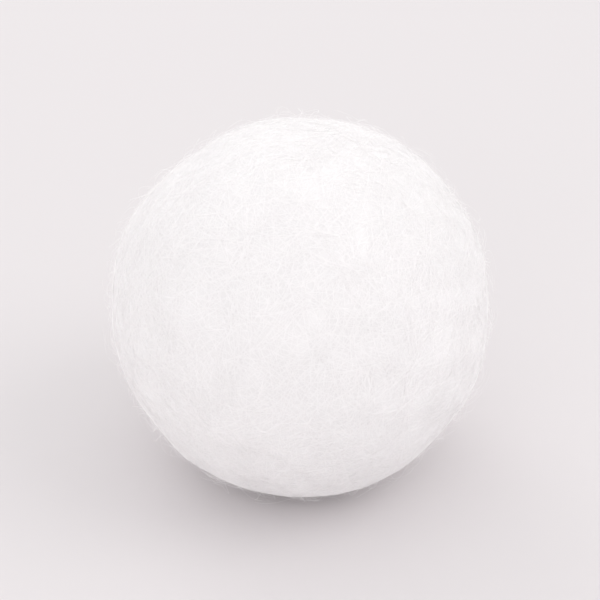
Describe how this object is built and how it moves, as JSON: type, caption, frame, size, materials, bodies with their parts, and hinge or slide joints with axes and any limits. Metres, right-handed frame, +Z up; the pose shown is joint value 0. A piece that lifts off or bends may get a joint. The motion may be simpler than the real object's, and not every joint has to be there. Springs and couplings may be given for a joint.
{
  "type": "cotton ball",
  "caption": "Soft round ball of rolled white cotton fibre that lies on a small flat spot, for wiping, dabbing and padding.",
  "frame": {"origin": "on the surface the ball lies on, under the middle of its box", "axes": "+Z up from the flat spot it lies on; X runs through the two rolled ends of the cotton strip; the strip's loose tail is at the back, at +Y"},
  "size_m": [0.036, 0.0366, 0.0352],
  "materials": {
    "cotton": "matte bleached cotton fibre, soft and slightly fuzzy"
  },
  "bodies": {
    "root": {"cotton_ball": "cotton"}
  },
  "joints": []
}
